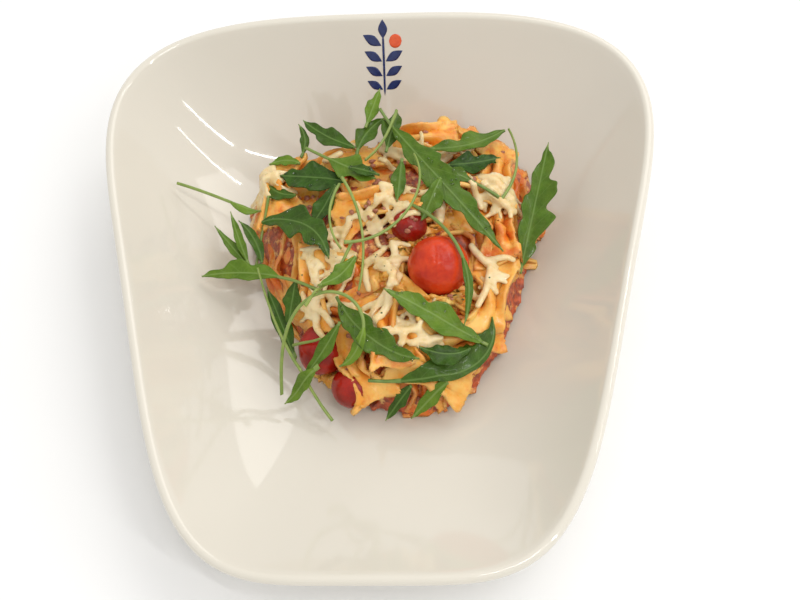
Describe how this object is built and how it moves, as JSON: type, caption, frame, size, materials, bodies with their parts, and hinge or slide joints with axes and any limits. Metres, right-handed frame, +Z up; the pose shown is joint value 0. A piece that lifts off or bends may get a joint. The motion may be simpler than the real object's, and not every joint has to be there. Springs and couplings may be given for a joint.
{
  "type": "baked pasta",
  "caption": "Baked bow-tie pasta with melted cheese, tomatoes and rocket leaves, plated in a deep white dish with a high far wall.",
  "frame": {"origin": "middle of the plate's plan, at the level of the surface that its foot ring stands on", "axes": "+Z up, +Y towards the plate's high, wide far side, +X to the right of someone who eats from the low, narrow near side"},
  "size_m": [0.2598, 0.2776, 0.0632],
  "materials": {
    "porcelain": "glossy warm white glaze",
    "pasta": "cooked pasta in tomato sauce with melted cheese, moist",
    "tomato": "baked cherry tomato skin, moist and slightly wrinkled",
    "rocket": "fresh rocket leaf, waxy, with oil drops"
  },
  "bodies": {
    "root": {"plate": "porcelain", "pasta_heap": "pasta", "cherry_tomato": "tomato", "tomato_half_left": "tomato", "tomato_half_front": "tomato", "tomato_half_back": "tomato", "rocket_leaf_01": "rocket", "rocket_leaf_02": "rocket", "rocket_leaf_03": "rocket", "rocket_leaf_04": "rocket", "rocket_leaf_05": "rocket", "rocket_leaf_06": "rocket", "rocket_leaf_07": "rocket", "rocket_leaf_08": "rocket", "rocket_leaf_09": "rocket", "rocket_leaf_10": "rocket", "rocket_leaf_11": "rocket", "rocket_leaf_12": "rocket", "rocket_leaf_13": "rocket", "rocket_leaf_14": "rocket", "rocket_leaf_15": "rocket", "rocket_leaf_16": "rocket", "rocket_leaf_17": "rocket", "rocket_leaf_18": "rocket", "rocket_leaf_19": "rocket", "rocket_leaf_20": "rocket", "rocket_leaf_21": "rocket", "rocket_leaf_22": "rocket", "rocket_leaf_23": "rocket", "rocket_leaf_24": "rocket", "rocket_leaf_25": "rocket", "rocket_leaf_26": "rocket", "rocket_leaf_27": "rocket", "rocket_leaf_28": "rocket", "rocket_leaf_29": "rocket", "rocket_leaf_30": "rocket", "rocket_leaf_31": "rocket", "rocket_leaf_32": "rocket", "rocket_leaf_33": "rocket", "rocket_leaf_34": "rocket", "rocket_leaf_35": "rocket", "rocket_leaf_36": "rocket", "rocket_leaf_37": "rocket", "rocket_leaf_38": "rocket", "rocket_leaf_39": "rocket", "rocket_leaf_40": "rocket", "rocket_leaf_41": "rocket", "rocket_leaf_42": "rocket", "rocket_leaf_43": "rocket", "rocket_leaf_44": "rocket", "rocket_leaf_45": "rocket", "rocket_leaf_46": "rocket"}
  },
  "joints": []
}
